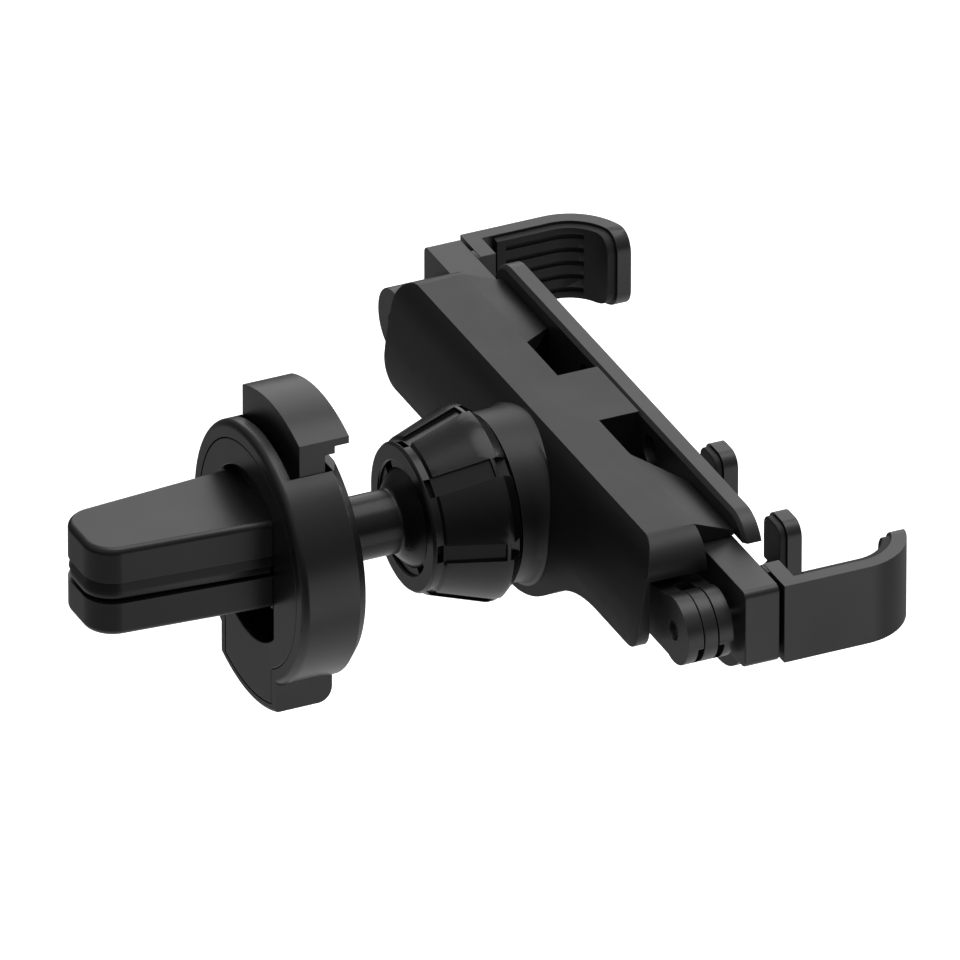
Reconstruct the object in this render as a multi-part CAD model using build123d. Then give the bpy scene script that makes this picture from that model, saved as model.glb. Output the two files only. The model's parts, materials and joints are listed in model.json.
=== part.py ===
from build123d import *
import os
from math import atan2, cos, degrees, hypot, radians, sin

# Gravity phone holder with a clip for the blades of a car's air vent. Millimetres, +Z up.
# The origin lies between the clip's jaws, where a vent blade sits. The jaws point along
# +Y and the phone stands in front of the plate on the -Y side. "Depth" is measured from
# the disc's face towards the phone, so a larger depth means a smaller Y. Right is +X, as
# seen by someone who looks at the phone.

# Vent clip: jaws. The upper one is fixed, and the lower one slides down with the button
grip_to_disc = 15.0
jaw_reach = 24.2
jaw_root_width = 15.6
jaw_tip_width = 11.6
jaw_tip_corner = 4.2
jaw_gap = 1.6
jaw_gap_height = 1.4
upper_jaw_thickness = 6.5
lower_jaw_thickness = 4.8
jaw_edge_fillet = 0.9
liner_inset = 1.1
liner_clearance = 0.1
liner_groove_width = 0.8
liner_groove_depth = 0.25
liner_groove_count = 5

# Vent clip: how the jaws are held inside the disc
jaw_hole_clearance = 0.2
jaw_collar_width = 18.6
jaw_collar_rise = 1.5
jaw_collar_thickness = 1.6
jaw_slide_clearance = 0.12
upper_root_width = 10.0
upper_root_drop = 1.1
lower_root_height = 2.8
jaw_pin_diameter = 1.8
upper_pin_reach = 2.6
pivot_clearance = 0.05
side_clearance = 0.25

# Vent clip: disc
disc_radius = 17.7
disc_depth = 9.4
disc_front_fillet = 1.0
disc_back_chamfer = 1.4
disc_back_wall = 1.2
cover_radius = 15.3
cover_thickness = 1.4
cover_gap = 0.12
cover_ledge = 1.0
cover_hole_radius = 11.8
tab_width = 17.0
tab_radius = 21.2
tab_depth = 8.1
tab_corner = 2.0

# Vent clip: thumb button
button_width = 18.0
button_setback = 3.3
button_web_depth = 5.1
button_flange_depth = 7.1
button_radius = 21.7
button_flange_thickness = 1.0
button_stem_depth = 3.7
button_stem_rise = 3.8
button_leg_width = 2.4
button_travel = 2.5
button_clearance = 0.1
recess_setback = 2.0

# Small coil springs
button_spring_radius = 1.5
button_spring_wire = 0.5
button_spring_turns = 3
return_spring_radius = 2.2
return_spring_wire = 0.6
return_spring_turns = 12

# Ball joint
ball_depth = 27.6
ball_radius = 8.5
stem_radius = 4.3
stem_spigot_radius = 2.9
running_clearance = 0.05
liner_shell = 0.8
claw_front = 5.3
claw_back = 1.9
claw_root = 2.9
claw_count = 4
claw_slot = 2.4
seat_front = 3.2

# Ball nut
nut_front = 5.7
nut_length = 11.6
nut_face_radius = 9.8
nut_collar_radius = 10.1
nut_collar_length = 1.4
nut_grip_front_radius = 10.6
nut_grip_radius = 13.1
nut_grip_length = 9.1
nut_rear_flat = 1.0
nut_rear_radius = 12.0
nut_channel_count = 7
nut_channel_phase = 182.3
nut_channel_width = 2.6
nut_channel_depth = 0.6
nut_pocket_floor_radius = 8.9
nut_mouth_chamfer = 0.35

# Socket on the back of the housing
neck_radius = 10.3
neck_front = 0.6
socket_radius = 11.4
socket_gap = 0.5
flare_radius = 3.0
flare_steps = 4

# Rear housing, with stations measured from the disc's face
housing_width = 79.6
housing_top = 12.0
housing_behind_socket = 3.3
housing_lean = 3.0
housing_lean_points = ((0.25, 2.0), (0.9, 6.0), (1.7, 9.5))
housing_corner = 4.5
housing_low_corner = 3.5
housing_wing_bottom = -3.3
housing_wing_inner = 27.0
housing_bell_bottom = -13.3
bell_shoulder = (17.0, -5.6)
bell_flank = (8.5, -11.0)
housing_wall = 1.6
link_doorway_top = 7.3
pillar_width = 12.8
pillar_bottom = 3.0
ramp_inner = 16.0
ramp_outer = 35.8
ramp_skew = 6.0
ramp_root = 1.6
ramp_end_height = 0.7
ramp_clearance = 0.1

# Front plate and its rubber rest
plate_width = 78.6
plate_thickness = 2.5
plate_top = 12.1
plate_bottom = -12.0
plate_top_corner = 5.0
plate_bottom_corner = 8.0
plate_edge_chamfer = 0.5
plate_notch_inner = 29.4
arm_gap = 0.2
rail_height = 1.8
rail_inner = 23.0
rail_outer = 38.0
locating_hole_radius = 2.2
locating_hole_side = 10.0
locating_hole_height = 8.0
locating_hole_depth = 1.2
rest_pad_width = 50.0
rest_pad_height = 17.0
rest_pad_thickness = 0.8
rest_pad_corner = 4.0
rest_pad_recess = 0.3
rest_pad_lift = 0.5
rest_pad_groove_depth = 0.3
rest_pad_groove_count = 6

# Housing screws
screw_side = 3.6
screw_height = 6.2
screw_radius = 1.1
screw_head_radius = 2.0
screw_head_height = 1.2
screw_length = 9.0

# Arm slides
slide_thickness = 4.95
slide_inner = 22.5
slide_outer = 50.0
slide_bottom = -2.4
slide_top = 8.8
slide_corner = 1.0
slide_clearance = 0.05

# Arms
arm_outer = 50.4
arm_wall = 2.0
arm_bottom = -2.5
arm_top = 8.9
arm_flange_width = 6.5
arm_flange_gap = 0.4
arm_flange_thickness = 2.2
arm_seat_width = 2.1
arm_straight = 11.9
arm_bend_radius = 8.6
arm_tip_reach = 9.2
arm_tip_corner = 3.0
arm_travel = 14.0
arm_pad_thickness = 1.2
arm_pad_margin = 0.4
arm_pad_border = 1.3
arm_pad_start = 1.7
arm_pad_tip_gap = 0.8
arm_pad_groove = 0.45
arm_pad_groove_width = 0.7
arm_pad_groove_count = 5

# Knuckles and links
knuckle_side = 43.8
knuckle_height = 2.0
knuckle_radius = 4.7
knuckle_pin_radius = 1.35
link_clearance = 1.5
ear_back_thickness = 2.2
ear_gap = 0.125
block_thickness = 1.95
ear_front_thickness = 2.0
housing_front_gap = 0.2
slide_gap = 0.9
fork_clearance = 0.25
fork_notch_width = 0.75
fork_notch_top = -0.9
fork_notch_bottom = -3.8
fork_notch_depth = 1.2
link_root_inset = 0.3
link_neck = 9.0
link_neck_half_height = 3.0
link_eye_radius = 3.5
link_pin_side = 16.0
link_rest_degrees = 6.5
link_pin_radius = 1.5
link_slot_slack = 0.35
link_turn_degrees = 53.8

# Foot slide and feet
foot_travel = 21.0
foot_plate_thickness = 3.25
foot_wing_half_width = 18.5
foot_wing_rise = 3.0
foot_wing_drop = 4.8
foot_web_half_width = 12.8
foot_side = 9.83
foot_width = 5.9
foot_shelf_top = -15.0
foot_shelf_thickness = 2.0
foot_top = -6.5
foot_reach = 20.5
foot_thickness = 2.05
foot_corner = 2.0
foot_gusset = 1.2
foot_pad_thickness = 0.95
foot_pad_margin = 0.35
spring_peg_radius = 1.3
spring_gap = 0.5

# Places that follow from the sizes above
disc_face = -grip_to_disc
disc_back = disc_face - disc_depth
inner_depth = disc_depth - disc_back_wall
cavity_radius = cover_radius - cover_ledge
jaw_tip = disc_face + jaw_reach
upper_jaw_bottom = jaw_gap_height + jaw_gap / 2
upper_jaw_top = upper_jaw_bottom + upper_jaw_thickness
lower_jaw_top = jaw_gap_height - jaw_gap / 2
lower_jaw_bottom = lower_jaw_top - lower_jaw_thickness
upper_root_top = upper_jaw_top - upper_root_drop
jaw_collar_depth = cover_thickness + jaw_collar_thickness
button_stem_bottom = upper_jaw_top + button_stem_rise
ball_centre = disc_face - ball_depth
shell_inner_radius = ball_radius + running_clearance
shell_outer_radius = shell_inner_radius + liner_shell
socket_cavity_radius = shell_outer_radius + running_clearance
socket_front_depth = ball_depth - nut_front + nut_length + socket_gap
housing_rear_low_depth = socket_front_depth + housing_behind_socket
housing_rear_top_depth = housing_rear_low_depth + housing_lean
ear_back_depth = housing_rear_low_depth + housing_wall + link_clearance
block_depth = ear_back_depth + ear_back_thickness + ear_gap
ear_front_depth = block_depth + block_thickness + ear_gap
link_front_depth = ear_front_depth + ear_front_thickness
housing_front_depth = link_front_depth + housing_front_gap
slide_back_depth = link_front_depth + slide_gap
slide_front_depth = slide_back_depth + slide_thickness
plate_back_depth = slide_front_depth + slide_clearance
arm_flange_depth = plate_back_depth + arm_flange_gap
arm_flange_inner = arm_outer - arm_flange_width
arm_tip_inner = arm_outer - arm_tip_reach
arm_straight_depth = arm_flange_depth + arm_straight
arm_pad_start_depth = arm_flange_depth + arm_flange_thickness + arm_pad_start
foot_plate_depth = slide_front_depth - foot_plate_thickness
foot_front_depth = plate_back_depth + foot_reach
spring_depth = ear_back_depth + spring_gap + return_spring_radius + return_spring_wire
link_span = (knuckle_side - link_pin_side) / cos(radians(link_rest_degrees))
link_pin_height = knuckle_height - link_span * sin(radians(link_rest_degrees))


def depth_plane(depth):
    """A plane across the holder: sketch x is X, sketch y is Z, and it extrudes to the phone."""
    return Plane(origin=(0, disc_face - depth, 0), x_dir=(1, 0, 0), z_dir=(0, -1, 0))


def prism(outline, depth, length):
    """Extrudes an outline seen from the phone side, from one depth for a length."""
    return extrude(depth_plane(depth) * outline, amount=length)


def turned(points):
    """Revolves a closed outline of (radius, Y) points about the Y axis."""
    return revolve(make_face(Polyline(*points, close=True)), axis=Axis.Y)


def block(x_range, depth_range, z_range):
    """A box between two X values, two depths and two heights."""
    sizes = [abs(pair[1] - pair[0]) for pair in (x_range, depth_range, z_range)]
    centre = [sum(pair) / 2 for pair in (x_range, depth_range, z_range)]
    return Pos(centre[0], disc_face - centre[1], centre[2]) * Box(*sizes)


def rod(x, z, radius, depth, length):
    """A round bar along the depth."""
    return prism(Pos(x, z) * Circle(radius), depth, length)


def mirrored(solid):
    """The same solid on the other side of the holder."""
    return mirror(solid, about=Plane.YZ)


def spring(radius, wire, turns, bottom, top, depth):
    """A coil along Z whose ends rest on the pieces above and below it."""
    pitch = (top - bottom - wire) / turns
    path = Helix(pitch=pitch, height=pitch * turns, radius=radius)
    section = Plane(origin=path @ 0, z_dir=path % 0) * Circle(wire / 2)
    return Pos(0, disc_face - depth, bottom + wire / 2) * sweep(section, path=path, is_frenet=True)


# Vent clip

def cover_outline(gap):
    tab_inset = (disc_radius - cover_radius) / 2
    width = tab_width - 2 * tab_inset + 2 * gap
    drop = tab_radius - tab_inset + gap
    tab = Pos(0, -drop / 2) * Rectangle(width, drop) & Circle(tab_radius - tab_inset + gap)
    return Circle(cover_radius + gap) + tab


def clip_housing():
    disc = rod(0, 0, disc_radius, 0, disc_depth)
    rims = disc.edges().filter_by(GeomType.CIRCLE).sort_by(Axis.Y)
    disc = fillet(rims[-1], disc_front_fillet)
    disc = chamfer(disc.edges().filter_by(GeomType.CIRCLE).sort_by(Axis.Y)[0], disc_back_chamfer)
    tab_outline = Pos(0, -tab_radius / 2) * Rectangle(tab_width, tab_radius) & Circle(tab_radius)
    tab = prism(tab_outline, 0, tab_depth)
    outer_edges = tab.edges().filter_by(GeomType.CIRCLE).sort_by(Axis.Y)
    tab = fillet(outer_edges[0], tab_corner)
    tab = fillet(tab.edges().filter_by(GeomType.CIRCLE).sort_by(Axis.Y)[-1], disc_front_fillet / 2)
    shell = disc + tab
    shell -= prism(cover_outline(cover_gap), 0, cover_thickness)
    shell -= rod(0, 0, cavity_radius, 0, inner_depth)
    slot = button_width / 2 + button_clearance
    high = 2 * button_radius
    stem_floor = button_stem_bottom - button_travel - button_clearance
    shell -= block((-slot, slot), (recess_setback, inner_depth), (stem_floor, high))
    web_floor = button_web_floor() - button_travel - button_clearance
    shell -= block((-slot, slot), (recess_setback, disc_depth * 2), (web_floor, high))
    return shell - rod(0, 0, stem_spigot_radius, inner_depth, disc_back_wall) - upper_jaw_pin()


def button_web_floor():
    """Lowest height of the button's wide web, just above the rim at the middle."""
    return disc_radius - button_clearance


def clip_cover():
    """Face of the disc; the straight sides of its hole guide the lower jaw."""
    hole = Circle(cover_hole_radius) & Rectangle(jaw_root_width + 2 * jaw_hole_clearance, 2 * cover_hole_radius)
    return prism(cover_outline(0) - hole, 0, cover_thickness)


def jaw_plan(inset):
    """Top view of a jaw outside the disc, tapering to rounded tip corners."""
    root = jaw_root_width / 2 - inset
    tip = jaw_tip_width / 2 - inset
    end = jaw_tip - inset
    start = disc_face + inset
    plan = make_face(Polyline((-root, start), (-tip, end), (tip, end), (root, start), close=True))
    return fillet(plan.vertices().group_by(Axis.Y)[-1], jaw_tip_corner - inset)


def jaw_finger(thickness):
    """A finger that stands on Z = 0, with its upper rim rounded."""
    finger = extrude(jaw_plan(0), amount=thickness)
    top = finger.faces().sort_by(Axis.Z)[-1]
    rim = [edge for edge in top.edges() if edge.center().Y > disc_face + jaw_edge_fillet]
    return fillet(rim, jaw_edge_fillet)


def jaw_inside(bottom, top, collar_bottom, collar_top, collar_start):
    """A jaw's throat through the cover, and the collar behind the cover that holds it in."""
    throat = block((-jaw_root_width / 2, jaw_root_width / 2), (0, jaw_collar_depth), (bottom, top))
    return throat + block((-jaw_collar_width / 2, jaw_collar_width / 2), (collar_start, jaw_collar_depth),
                          (collar_bottom, collar_top))


def upper_jaw():
    """Fixed jaw: its root is held between the cover and the back wall of the disc."""
    jaw = Pos(0, 0, upper_jaw_bottom) * jaw_finger(upper_jaw_thickness)
    jaw += jaw_inside(upper_jaw_bottom, upper_jaw_top, upper_jaw_bottom, upper_jaw_top + jaw_collar_rise,
                      cover_thickness)
    jaw += block((-upper_root_width / 2, upper_root_width / 2), (jaw_collar_depth, inner_depth),
                 (upper_jaw_bottom, upper_root_top))
    return jaw - upper_jaw_pin()


def upper_jaw_pin():
    """Pin that is pressed through the back of the disc into the upper jaw's root."""
    return rod(0, (upper_jaw_bottom + upper_root_top) / 2, jaw_pin_diameter / 2,
               inner_depth - upper_pin_reach, disc_back_wall + upper_pin_reach)


def lower_jaw():
    """Sliding jaw: its root hangs between the legs of the button on a cross pin."""
    jaw = Pos(0, 0, lower_jaw_top) * mirror(jaw_finger(lower_jaw_thickness), about=Plane.XY)
    jaw += jaw_inside(lower_jaw_bottom, lower_jaw_top, lower_jaw_bottom - jaw_collar_rise, lower_jaw_top,
                      cover_thickness + jaw_slide_clearance)
    half = leg_outer() - button_leg_width
    jaw += block((-half, half), (jaw_collar_depth, inner_depth - jaw_slide_clearance),
                 (lower_jaw_bottom, lower_jaw_bottom + lower_root_height))
    return jaw - lower_jaw_pin()


def lower_jaw_pin():
    """Cross pin through the lower jaw's root and both legs of the button."""
    y = disc_face - button_setback - button_stem_depth / 2
    return Pos(0, y, lower_jaw_bottom + lower_root_height / 2) * Rot(0, 90, 0) * Cylinder(
        jaw_pin_diameter / 2, 2 * leg_outer())


def leg_outer():
    """Side of the button's legs, which pass on both sides of the upper jaw's root."""
    return upper_root_width / 2 + side_clearance + button_leg_width


def upper_jaw_pad():
    """Rubber liner, with cross grooves on the side that bites the blade."""
    pad = extrude(jaw_plan(liner_inset), amount=(jaw_gap - liner_clearance) / 2)
    pitch = (jaw_reach - 2 * liner_inset) / (liner_groove_count + 1)
    for number in range(1, liner_groove_count + 1):
        y = disc_face + liner_inset + number * pitch
        pad -= Pos(0, y, 0) * Box(jaw_root_width, liner_groove_width, 2 * liner_groove_depth)
    return Pos(0, 0, jaw_gap_height + liner_clearance / 2) * pad


def lower_jaw_pad():
    return mirror(upper_jaw_pad(), about=Plane.XY.offset(jaw_gap_height))


def button_spring():
    return spring(button_spring_radius, button_spring_wire, button_spring_turns,
                  upper_root_top, button_stem_bottom, button_setback + button_stem_depth / 2)


def thumb_button():
    """Push button: a curved thumb rest on a web, and a stem whose two legs push the lower jaw."""
    cap = Rectangle(button_width, 4 * button_radius) & Circle(button_radius)
    upper = Pos(0, button_web_floor() + button_radius) * Rectangle(2 * button_radius, 2 * button_radius)
    web = prism(cap & upper, button_setback, button_web_depth)
    rest_outline = (cap & upper) - Circle(button_radius - button_flange_thickness)
    flange = prism(rest_outline, button_setback, button_flange_depth)
    depths = (button_setback, button_setback + button_stem_depth)
    button = web + flange + block((-button_width / 2, button_width / 2), depths,
                                  (button_stem_bottom, button_web_floor()))
    for side in (-1, 1):
        button += block((side * (leg_outer() - button_leg_width), side * leg_outer()), depths,
                        (lower_jaw_bottom, button_stem_bottom))
    return button - lower_jaw_pin()


# Ball joint

def ball_stud():
    junction = ball_centre + (ball_radius ** 2 - stem_radius ** 2) ** 0.5
    shaft = turned([(0, disc_back), (stem_radius, disc_back), (stem_radius, junction),
                    (stem_radius, ball_centre), (0, ball_centre)])
    stud = shaft + Pos(0, ball_centre, 0) * Sphere(ball_radius)
    neck_edge = stud.edges().filter_by(GeomType.CIRCLE).sort_by_distance((0, junction, 0))[0]
    stud = fillet(neck_edge, 0.6)
    return stud + rod(0, 0, stem_spigot_radius, disc_depth - disc_back_wall, disc_back_wall)


def ball_shell():
    return Sphere(shell_outer_radius) - Sphere(shell_inner_radius)


def between(shell, back, front):
    """Keeps what lies between two distances in front of the ball's centre, towards the clip."""
    size = 4 * ball_radius
    slab = Pos(0, (back + front) / 2, 0) * Box(size, front - back, size)
    return Pos(0, ball_centre, 0) * (shell & slab)


def ball_claws():
    """Split ring in the nut's mouth that grips the front half of the ball."""
    ring = between(ball_shell(), claw_back, claw_front)
    reach = claw_front - claw_root
    for number in range(claw_count):
        gap = Pos(ball_radius, ball_centre + claw_root + reach, 0) * Box(2 * ball_radius, 2 * reach, claw_slot)
        ring -= Rot(0, 45 + number * 360 / claw_count, 0) * gap
    return ring


def ball_seat():
    """Cup-shaped liner behind the ball."""
    return between(ball_shell(), -2 * ball_radius, -seat_front)


def ball_nut():
    """Clamping nut: tapered grips between channels, with a pocket before each channel."""
    face = ball_centre + nut_front
    rear = face - nut_length
    collar = face - nut_collar_length
    grip_end = face - nut_grip_length
    profile = [
        (0, face), (nut_face_radius, face), (nut_collar_radius, face - 0.4), (nut_collar_radius, collar),
        (nut_grip_front_radius, collar - 0.3), (nut_grip_radius, grip_end),
        (nut_grip_radius, grip_end - nut_rear_flat), (nut_rear_radius, rear), (0, rear),
    ]
    nut = turned(profile)
    nut -= Pos(0, ball_centre, 0) * Sphere(socket_cavity_radius)
    bore_front = ball_centre - neck_front + side_clearance
    nut -= turned([(0, bore_front), (neck_radius + running_clearance, bore_front),
                   (neck_radius + running_clearance, rear), (0, rear)])
    mouth = (socket_cavity_radius ** 2 - nut_front ** 2) ** 0.5
    nut -= turned([(0, face), (mouth + nut_mouth_chamfer, face),
                   (mouth - nut_mouth_chamfer, face - 2 * nut_mouth_chamfer), (0, face - 2 * nut_mouth_chamfer)])
    far = 2 * nut_grip_radius
    channel_outline = make_face(Polyline(
        (nut_grip_front_radius - nut_channel_depth, collar), (nut_grip_radius - nut_channel_depth, grip_end),
        (far, grip_end), (far, collar), close=True))
    channel = extrude(channel_outline, amount=nut_channel_width / 2, both=True)
    pocket = Pos((nut_pocket_floor_radius + far) / 2, collar + nut_collar_length / 3, 0) * Box(
        far - nut_pocket_floor_radius, nut_collar_length * 2 / 3, nut_channel_width)
    notch_start = grip_end - nut_rear_flat / 2
    notch = Pos((nut_rear_radius - nut_channel_depth + far) / 2, (notch_start + rear) / 2, 0) * Box(
        far - nut_rear_radius + nut_channel_depth, notch_start - rear, nut_channel_width)
    cutter = channel + pocket + notch
    for number in range(nut_channel_count):
        # A turn about +Y by -angle takes +X to the same angle in the X-Z view
        nut -= Rot(0, -(nut_channel_phase + number * 360 / nut_channel_count), 0) * cutter
    return nut


# Housing and plate

def housing_outline():
    """Back view: square top corners, low wings, and a bell that drops round the socket."""
    half = housing_width / 2
    left = [(-point[0], point[1]) for point in (bell_shoulder, bell_flank)]
    bell = Spline((-housing_wing_inner, housing_wing_bottom), *left, (0, housing_bell_bottom), bell_flank,
                  bell_shoulder, (housing_wing_inner, housing_wing_bottom), tangents=[(1, 0), (1, 0)])
    rest = Polyline((housing_wing_inner, housing_wing_bottom), (half, housing_wing_bottom),
                    (half, housing_top), (-half, housing_top), (-half, housing_wing_bottom),
                    (-housing_wing_inner, housing_wing_bottom))
    face = make_face(bell.edges() + rest.edges())
    low = [v for v in face.vertices() if abs(v.X) > half - 1 and v.Y < 0]
    face = fillet(low, housing_low_corner)
    high = [v for v in face.vertices() if v.Y > housing_top - 1]
    return fillet(high, housing_corner)


def housing_side(shift, drop):
    """Side view of the housing, swept from the leaning back face; shift and drop give its inside."""
    top = housing_top - drop
    back_top = disc_face - housing_rear_top_depth - shift
    back_low = disc_face - housing_rear_low_depth - shift
    front = disc_face - housing_front_depth
    low = 2 * housing_bell_bottom
    points = [(back_low - lean, min(height, top - drop - 1)) for lean, height in housing_lean_points]
    curve = Spline((back_low, housing_wing_bottom), *points, (back_top, top))
    rest = Polyline((back_top, top), (front, top), (front, low), (back_low, low), (back_low, housing_wing_bottom))
    return make_face(curve.edges() + rest.edges())


def rear_housing():
    outline = housing_outline()
    full = prism(outline, socket_front_depth, housing_front_depth - socket_front_depth)
    side = extrude(Plane.YZ * housing_side(0, 0), amount=housing_width, both=True)
    body = full & side
    inner_half = housing_width / 2 - housing_wall
    cavity = extrude(Plane.YZ * housing_side(housing_wall, housing_wall), amount=inner_half, both=True)
    body -= cavity
    doorway_start = housing_rear_low_depth + housing_wall
    doorway = block((-housing_width, housing_width), (doorway_start, housing_front_depth),
                    (2 * housing_bell_bottom, link_doorway_top))
    body -= doorway
    bridge_end = plate_back_depth
    body += block((-pillar_width / 2, pillar_width / 2), (housing_rear_top_depth, bridge_end),
                  (pillar_bottom, housing_top - housing_wall / 2))
    body += block((-pillar_width / 2, pillar_width / 2), (housing_rear_top_depth, bridge_end),
                  (housing_top - housing_wall, housing_top))
    socket_end = ear_back_depth - side_clearance
    socket = rod(0, 0, socket_radius, socket_front_depth, socket_end - socket_front_depth)
    socket += socket_flare(socket_end)
    socket &= prism(outline, 0, housing_front_depth)
    socket += turned([(0, ball_centre - neck_front), (neck_radius, ball_centre - neck_front),
                      (neck_radius, disc_face - socket_front_depth), (0, disc_face - socket_front_depth)])
    body += socket
    body -= Pos(0, ball_centre, 0) * Sphere(socket_cavity_radius)
    for side in (-1, 1):
        body += top_ramp(side)
        body -= rod(side * screw_side, screw_height, screw_radius, screw_start(), screw_length)
    return body


def top_ramp(side):
    """Slope from the housing's top edge down to the plate, above the arm slide."""
    floor = arm_top + ramp_clearance
    start = disc_face - housing_front_depth
    root = start + ramp_root
    end = disc_face - plate_back_depth + slide_clearance
    slope = make_face(Polyline((root, floor), (root, housing_top), (start, housing_top),
                               (end, floor + ramp_end_height), (end, floor), close=True))
    ramp = extrude(Plane.YZ * slope, amount=ramp_outer, both=True)
    plan = make_face(Polyline((side * ramp_inner, root), (side * ramp_outer, root), (side * ramp_outer, end),
                              (side * (ramp_inner + ramp_skew), end), (side * ramp_inner, start), close=True))
    return ramp & extrude(plan, amount=2 * housing_top)


def socket_flare(end):
    """Concave flare round the socket: widest below, and nothing at the top, where the housing ends."""
    start = housing_rear_low_depth - flare_radius / 2
    sections = []
    for number in range(flare_steps + 1):
        step = radians(number * 90 / flare_steps)
        spread = flare_radius * (1 - cos(step))
        sections.append(depth_plane(start + flare_radius * sin(step)) * Pos(0, -spread)
                        * Circle(socket_radius + spread))
    flare = loft(sections, ruled=True)
    last = start + flare_radius
    return flare + prism(Pos(0, -flare_radius) * Circle(socket_radius + flare_radius), last, end - last)


def front_plate():
    half = plate_width / 2
    outline = Pos(0, (plate_top + plate_bottom) / 2) * Rectangle(plate_width, plate_top - plate_bottom)
    outline = fillet(outline.vertices().group_by(Axis.Y)[-1], plate_top_corner)
    outline = fillet([v for v in outline.vertices() if v.Y < plate_bottom + 1], plate_bottom_corner)
    notch_low = arm_bottom - arm_gap
    notch_high = arm_top + arm_gap
    for side in (-1, 1):
        outline -= Pos(side * (plate_notch_inner + half) / 2, (notch_low + notch_high) / 2) * Rectangle(
            half - plate_notch_inner, notch_high - notch_low)
    plate = prism(outline, plate_back_depth, plate_thickness)
    back_top = plate.edges().filter_by(Axis.X).filter_by(lambda edge: edge.center().Z > plate_top - 0.1)
    plate = chamfer(back_top.sort_by(Axis.Y)[-1], plate_edge_chamfer)
    plate -= prism(rest_outline(side_clearance / 2), plate_back_depth + plate_thickness - rest_pad_recess,
                   rest_pad_recess)
    rail_back = slide_back_depth
    rail_top = slide_bottom - arm_gap
    wing_side = foot_wing_half_width + arm_gap
    for side in (-1, 1):
        plate += block((side * rail_inner, side * rail_outer), (rail_back, plate_back_depth),
                       (rail_top - rail_height, rail_top))
        plate += block((side * wing_side, side * (wing_side + rail_height)), (rail_back, plate_back_depth),
                       (plate_bottom, rail_top))
        plate -= rod(side * locating_hole_side, locating_hole_height, locating_hole_radius,
                     plate_back_depth, locating_hole_depth)
        plate -= rod(side * screw_side, screw_height, screw_radius, plate_back_depth, plate_thickness)
        plate -= rod(side * screw_side, screw_height, screw_head_radius, screw_head_start(), screw_head_height)
    return plate


def screw_head_start():
    """Depth at which a screw head starts: its top is level with the floor under the rubber rest."""
    return plate_back_depth + plate_thickness - rest_pad_recess - screw_head_height


def rest_outline(grow):
    middle = Pos(0, rest_pad_middle())
    return middle * RectangleRounded(rest_pad_width + 2 * grow, rest_pad_height + 2 * grow, rest_pad_corner)


def rest_pad_middle():
    return (plate_top + plate_bottom) / 2 + rest_pad_lift


def rest_pad():
    """Rubber rest for the phone's back, with raised ribs along its length."""
    start = plate_back_depth + plate_thickness - rest_pad_recess
    pad = prism(rest_outline(0), start, rest_pad_thickness)
    pitch = rest_pad_height / (rest_pad_groove_count + 1)
    low = rest_pad_middle() - rest_pad_height / 2
    reach = rest_pad_width / 2 - rest_pad_corner
    for number in range(1, rest_pad_groove_count + 1):
        height = low + number * pitch
        groove = block((-reach, reach),
                       (start + rest_pad_thickness - rest_pad_groove_depth, start + rest_pad_thickness),
                       (height - pitch / 4, height + pitch / 4))
        pad -= groove
    return pad


def screw_start():
    """Depth of a housing screw's point."""
    return screw_head_start() + screw_head_height - screw_length


def housing_screw():
    head_start = screw_head_start()
    shaft = rod(screw_side, screw_height, screw_radius, screw_start(), screw_length - screw_head_height)
    head = rod(screw_side, screw_height, screw_head_radius, head_start, screw_head_height)
    cross = Rectangle(1.2 * screw_head_radius, screw_head_radius / 4)
    drive = prism(Pos(screw_side, screw_height) * (cross + Rot(0, 0, 90) * cross),
                  head_start + screw_head_height / 2, screw_head_height / 2)
    return shaft + head - drive


# Arms, drawn on the right side

def arm_slide():
    outline = Pos((slide_inner + slide_outer) / 2, (slide_bottom + slide_top) / 2) * Rectangle(
        slide_outer - slide_inner, slide_top - slide_bottom)
    outline = fillet(outline.vertices(), slide_corner)
    bar = prism(outline, slide_back_depth, slide_front_depth - slide_back_depth)
    return bar - rod(knuckle_side, knuckle_height, knuckle_pin_radius, slide_back_depth,
                     (slide_front_depth - slide_back_depth) / 2)


def arm_plan(outer_shift, inner_shift, start_depth, end_side):
    """Top view of the arm's hooked wall between two offsets from its outer face."""
    centre_side = arm_outer - arm_bend_radius
    outer_side = arm_outer - outer_shift
    inner_side = arm_outer - inner_shift
    outer_radius = arm_bend_radius - outer_shift
    inner_radius = arm_bend_radius - inner_shift
    start = disc_face - start_depth
    bend = disc_face - arm_straight_depth
    diagonal = cos(radians(45))
    outer_end = (centre_side, bend - outer_radius)
    inner_end = (centre_side, bend - inner_radius)
    outer_middle = (centre_side + outer_radius * diagonal, bend - outer_radius * diagonal)
    inner_middle = (centre_side + inner_radius * diagonal, bend - inner_radius * diagonal)
    edges = [
        Line((outer_side, start), (outer_side, bend)),
        ThreePointArc((outer_side, bend), outer_middle, outer_end),
        Polyline(outer_end, (end_side, bend - outer_radius), (end_side, bend - inner_radius), inner_end),
        ThreePointArc(inner_end, inner_middle, (inner_side, bend)),
        Polyline((inner_side, bend), (inner_side, start), (outer_side, start)),
    ]
    return make_face([edge for part in edges for edge in part.edges()])


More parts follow.
